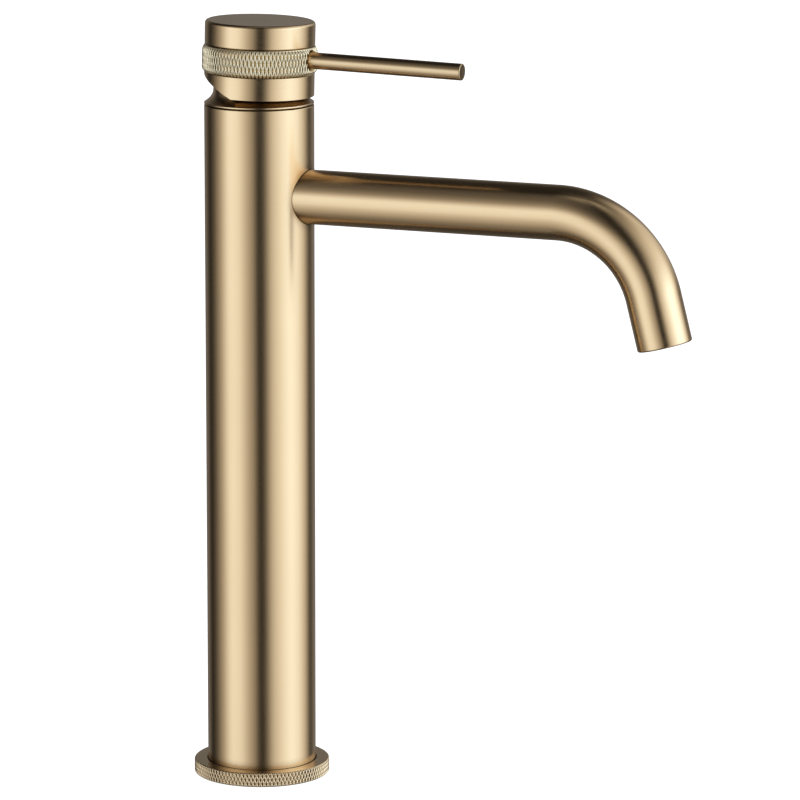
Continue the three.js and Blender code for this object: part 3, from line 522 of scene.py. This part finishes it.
# ---------------------------------------------------------------- bonnet and handle
def bonnet():
    """A rounded bead over the seam, a concave flare, and a dome about the pin."""
    bead_top = BONNET_BOTTOM + BEAD_HEIGHT
    steps = 16
    flare = []
    for k in range(steps + 1):
        share = k / steps
        width = BODY_RADIUS - 0.3 - NECK_RADIUS
        flare.append((NECK_RADIUS + width * (1 - share) ** FLARE_POWER, bead_top + FLARE_HEIGHT * share))
    start = math.asin((flare[-1][1] - PIVOT_Z) / NECK_RADIUS)
    end = math.asin((BONNET_TOP - PIVOT_Z) / NECK_RADIUS)
    angles = [start + (end - start) * k / 8 for k in range(1, 9)]
    dome = [(NECK_RADIUS * math.cos(a), PIVOT_Z + NECK_RADIUS * math.sin(a)) for a in angles]
    return lathe("bonnet_collar", [
        (BONNET_BORE, BONNET_BOTTOM),
        (BODY_RADIUS, BONNET_BOTTOM, 0.35),
        (BODY_RADIUS, bead_top - 0.05, 0.35),
        *flare,
        *dome,
        (BONNET_OPENING, BONNET_TOP),
        (BONNET_OPENING, BONNET_TOP - BONNET_TOP_WALL),
        (BONNET_BORE, BONNET_TOP - BONNET_TOP_WALL),
    ])


LARGE = 200.0


def tipped_block(height, angle):
    """Everything below a plane that is tipped up towards the back, at a height over the pin."""
    made = block("tipped", (-LARGE, -LARGE, height - LARGE), (LARGE, LARGE, height))
    made.data.transform(Matrix.Rotation(angle, 4, "X"))
    return made


def dome_room():
    """The room that the bonnet's dome needs inside the handle, at rest and at full lift."""
    radius = NECK_RADIUS + 0.9
    height = BONNET_TOP - PIVOT_Z + 0.7
    steps = 32
    angles = [-math.pi / 2 + math.pi * k / steps for k in range(steps + 1)]
    ball = [(max(radius * math.cos(a), 0), radius * math.sin(a)) for a in angles]
    sweep = combine(tipped_block(height, 0), tipped_block(height, FULL_LIFT), "UNION")
    return combine(lathe("dome_room", ball), sweep, "INTERSECT")


def handle_hub():
    shoulder = BAND_BOTTOM - GAP
    seat = BAND_TOP - GAP
    top = BAND_TOP + SPIGOT_HEIGHT
    hub = lathe("handle_hub", [
        (0, SKIRT_BOTTOM),
        (HANDLE_RADIUS, SKIRT_BOTTOM, 0.15),
        (HANDLE_RADIUS, shoulder, 0.35),
        (BAND_BORE - GAP, shoulder),
        (BAND_BORE - GAP, seat),
        (SPIGOT_RADIUS, seat),
        (SPIGOT_RADIUS, top),
        (0, top),
    ])
    skirt_room = lathe("skirt_room", [(0, SKIRT_BOTTOM - 1), (SKIRT_BORE, SKIRT_BOTTOM - 1),
                                      (SKIRT_BORE, SKIRT_ROOM_TOP), (0, SKIRT_ROOM_TOP)])
    rear = tipped_block(0, SKIRT_CUT_SLOPE)
    rear.data.transform(Matrix.Translation((0, SKIRT_CUT_START, SKIRT_BOTTOM)))
    stem_half, stem_top = 4.2, 22.7
    stem = block("stem_socket", (-stem_half, -stem_half, 0), (stem_half, stem_half, stem_top))
    bore = lathe("lever_bore", [(0, LEVER_ROOT - GAP), (LEVER_RADIUS + GAP, LEVER_ROOT - GAP),
                                (LEVER_RADIUS + GAP, LARGE), (0, LARGE)], SMALL_ROUND)
    bore.data.transform(Matrix.Translation((0, 0, LEVER_Z)) @ laid())
    return carve(hub, skirt_room, dome_room(), rear, stem, bore)


def knurled_band():
    """The grip: a tapered plain shoulder at the top, and ridges that are cut off round at the bottom."""
    top, bottom = BAND_TOP - GAP, BAND_BOTTOM
    shoulder, shoulder_out, foot, foot_out = 2.35, BAND_RADIUS - HANDLE_RADIUS, 1.2, 0.9
    bulge = 1.6
    shares = np.linspace(0, 1, 9)
    lower = [(bottom + foot * t, BAND_RADIUS - foot_out * (1 - t) ** bulge) for t in shares]
    upper = [(top - shoulder * t, BAND_RADIUS - shoulder_out * (1 - t) ** bulge) for t in reversed(shares)]
    piece = knurled_ring("knurled_band", lower + upper, bore=BAND_BORE, depth=0.9, columns=92, period=5.4,
                         pit_z=13.6, lip=(0, 0.3))
    narrow, wide = LEVER_RADIUS + 0.3, LEVER_RADIUS + 1.1
    sink_start, sink_end = BAND_RADIUS - 1.6, BAND_RADIUS - 0.4
    hole = lathe("lever_hole", [(0, LEVER_ROOT), (narrow, LEVER_ROOT), (narrow, sink_start),
                                (wide, sink_end), (wide, LARGE), (0, LARGE)], SMALL_ROUND)
    hole.data.transform(Matrix.Translation((0, 0, LEVER_Z)) @ laid())
    return carve(piece, hole)


def handle_cap():
    top = BAND_TOP + CAP_HEIGHT
    ceiling = BAND_TOP + SPIGOT_HEIGHT + GAP
    bore = SPIGOT_RADIUS + GAP
    return lathe("handle_cap_turned", [
        (bore, BAND_TOP),
        (HANDLE_RADIUS, BAND_TOP, 0.5),
        (HANDLE_RADIUS, top, CAP_ROUNDING),
        (0, top),
        (0, ceiling),
        (bore, ceiling),
    ])


def lever():
    rod = lathe("pin_lever", [
        (0, LEVER_ROOT),
        (LEVER_RADIUS, LEVER_ROOT),
        (LEVER_RADIUS, LEVER_REACH, 0.4),
        (0, LEVER_REACH),
    ], SMALL_ROUND)
    rod.data.transform(Matrix.Translation((0, 0, LEVER_Z)) @ laid())
    return rod


# ---------------------------------------------------------------- the object
finished(base_flange(), "body", ["base_flange"], looks["gold_flange"], sharp=60)
finished(base_gasket(), "body", ["base_gasket"], looks["rubber"])
finished(column(), "body", ["body_tube"], looks["gold_column"])
finished(spout(), "body", ["spout_tube"], looks["gold_spout"])
finished(bonnet(), "body", ["bonnet"], looks["gold_handle"])
finished(aerator_shell(), "body", ["aerator_shell"], looks["steel"], outlet_frame())
finished(aerator_core(), "body", ["aerator_core"], looks["white_plastic"], outlet_frame())
finished(handle_hub(), "handle", ["handle_body"], looks["gold_handle"], HANDLE_FRAME)
finished(knurled_band(), "handle", ["knurled_ring"], looks["gold_knurl"], HANDLE_FRAME,
         sharp=60)
finished(handle_cap(), "handle", ["handle_cap"], looks["gold_handle"], HANDLE_FRAME)
finished(lever(), "handle", ["lever_rod"], looks["gold_lever"], HANDLE_FRAME)

for part in frame["record"]["subparts"]:
    node = frame["nodes"][part["node"]]
    node.data.materials.clear()
    node.data.materials.append(looks[part["material_slot"]])


# ---------------------------------------------------------------- camera
CAMERA_AZIMUTH = math.radians(-65.637)
CAMERA_DISTANCE = 1.91276
CAMERA_HEIGHT = 0.52297
CAMERA_PITCH = math.radians(10.916)
CAMERA_TURN = math.radians(1.687)  # the view's middle lies this far to the right of the column
CAMERA_ROLL = math.radians(0.066)
CAMERA_LENS = 217.1


def add_camera():
    data = bpy.data.cameras.new("camera")
    data.lens = CAMERA_LENS
    data.sensor_width = 36
    camera = bpy.data.objects.new("camera", data)
    bpy.context.scene.collection.objects.link(camera)
    across = Vector((math.sin(CAMERA_AZIMUTH), -math.cos(CAMERA_AZIMUTH), 0))
    camera.location = across * CAMERA_DISTANCE + Vector((0, 0, CAMERA_HEIGHT))
    level = Matrix.Rotation(-CAMERA_TURN, 3, "Z") @ -across
    aim = level * math.cos(CAMERA_PITCH) - Vector((0, 0, math.sin(CAMERA_PITCH)))
    rolled = aim.to_track_quat("-Z", "Y").to_matrix() @ Matrix.Rotation(CAMERA_ROLL, 3, "Z")
    camera.rotation_euler = rolled.to_euler()
    data.clip_start, data.clip_end = 0.01, 20
    bpy.context.scene.camera = camera


# ---------------------------------------------------------------- studio
# Brightness of the room round the object, by the angle from the camera's side and by the height above
# the horizon: two tall soft boxes with a narrow dark gap between them, dark corners behind, and a dim back.
SIDES = [
    (-180, 0.22), (-150, 0.2), (-128, 0), (-110, 0.1), (-90, 0.5), (-68, 1.3), (-45, 1.2), (-27, 0.68),
    (-12, 0.33), (-6, 0), (6, 0), (11, 0.15), (25, 0.82), (45, 1.2), (66, 1.5), (86, 1.3), (104, 0.8),
    (124, 0), (150, 0.25), (180, 0.22),
]
HEIGHTS = [
    (-90, 0.7), (-60, 0.2), (-35, 0.55), (-15, 0.9), (8, 1.0), (30, 0.26), (50, 0.1), (70, 0.09), (90, 0.5),
]
# A third soft box hangs high on the right.
HIGH_SIDES = [(-180, 0), (15, 0), (50, 0.6), (90, 0.9), (135, 1), (158, 0), (180, 0)]
HIGH_HEIGHTS = [(-90, 0), (0, 0), (14, 0.55), (30, 0.8), (48, 0.7), (62, 0.3), (75, 0), (90, 0)]
COOL_GREEN = 0.12  # how much cooler the light gets where it is brightest
COOL_BLUE = 0.28


def ramp(tree, factor, stops, low, high):
    """A grey ramp over a range of degrees."""
    node = tree.nodes.new("ShaderNodeValToRGB")
    elements = node.color_ramp.elements
    while len(elements) > 1:
        elements.remove(elements[0])
    for i, (degrees, value) in enumerate(stops):
        place = (degrees - low) / (high - low)
        element = elements[0] if i == 0 else elements.new(place)
        element.position = place
        element.color = (value, value, value, 1)
    tree.links.new(factor, node.inputs["Fac"])
    return node.outputs["Color"]


def add_world():
    world = bpy.data.worlds.new("studio")
    bpy.context.scene.world = world
    world.use_nodes = True
    tree = world.node_tree
    tree.nodes.clear()
    add, link = tree.nodes.new, tree.links.new

    def math_node(operation, *inputs):
        node = add("ShaderNodeMath")
        node.operation = operation
        for socket, value in zip(node.inputs, inputs):
            if isinstance(value, (int, float)):
                socket.default_value = value
            else:
                link(value, socket)
        return node.outputs["Value"]

    direction = add("ShaderNodeTexCoord").outputs["Generated"]
    turned = add("ShaderNodeVectorRotate")
    turned.rotation_type = "Z_AXIS"
    turned.inputs["Angle"].default_value = -CAMERA_AZIMUTH
    link(direction, turned.inputs["Vector"])
    parts = add("ShaderNodeSeparateXYZ")
    link(turned.outputs["Vector"], parts.inputs["Vector"])
    toward = math_node("MULTIPLY", parts.outputs["Y"], -1)
    angle = math_node("ARCTAN2", parts.outputs["X"], toward)
    side_share = math_node("MULTIPLY_ADD", angle, 1 / (2 * math.pi), 0.5)
    height = math_node("ARCSINE", parts.outputs["Z"])
    height_share = math_node("MULTIPLY_ADD", height, 1 / math.pi, 0.5)
    low = math_node("MULTIPLY", ramp(tree, side_share, SIDES, -180, 180),
                    ramp(tree, height_share, HEIGHTS, -90, 90))
    high = math_node("MULTIPLY", ramp(tree, side_share, HIGH_SIDES, -180, 180),
                     ramp(tree, height_share, HIGH_HEIGHTS, -90, 90))
    bright = math_node("ADD", low, high)
    cubed = math_node("POWER", bright, 3)
    light = add("ShaderNodeCombineColor")
    link(bright, light.inputs["Red"])
    link(math_node("MULTIPLY_ADD", cubed, COOL_GREEN, bright), light.inputs["Green"])
    link(math_node("MULTIPLY_ADD", cubed, COOL_BLUE, bright), light.inputs["Blue"])
    room = add("ShaderNodeBackground")
    link(light.outputs["Color"], room.inputs["Color"])
    backdrop = add("ShaderNodeBackground")
    backdrop.inputs["Color"].default_value = (1, 1, 1, 1)
    backdrop.inputs["Strength"].default_value = 1.05
    seen = add("ShaderNodeMixShader")
    link(add("ShaderNodeLightPath").outputs["Is Camera Ray"], seen.inputs["Fac"])
    link(room.outputs["Background"], seen.inputs[1])
    link(backdrop.outputs["Background"], seen.inputs[2])
    link(seen.outputs["Shader"], add("ShaderNodeOutputWorld").inputs["Surface"])


FLOOR_DROP = 0.0002  # keeps the floor clear of the object's underside


def add_floor():
    half = 3.0
    mesh = bpy.data.meshes.new("floor")
    corners = [(-half, -half, 0), (half, -half, 0), (half, half, 0), (-half, half, 0)]
    mesh.from_pydata(corners, [], [(0, 1, 2, 3)])
    floor = bpy.data.objects.new("floor", mesh)
    floor.location.z = -FLOOR_DROP
    bpy.context.scene.collection.objects.link(floor)
    nodes = Nodes("pale_floor")
    fine = nodes.noise(30, detail=2)
    nodes.link(nodes.blend(nodes.between(fine, 0, 1), (0.8, 0.8, 0.8), (0.82, 0.82, 0.82)),
               nodes.shader.inputs["Base Color"])
    nodes.shader.inputs["Roughness"].default_value = 0.9
    nodes.shader.inputs["Emission Color"].default_value = (1, 1, 1, 1)
    nodes.shader.inputs["Emission Strength"].default_value = 1
    floor.data.materials.append(nodes.material)
    floor.visible_glossy = False


add_camera()
add_world()
add_floor()
bpy.context.scene.view_settings.view_transform = "Standard"
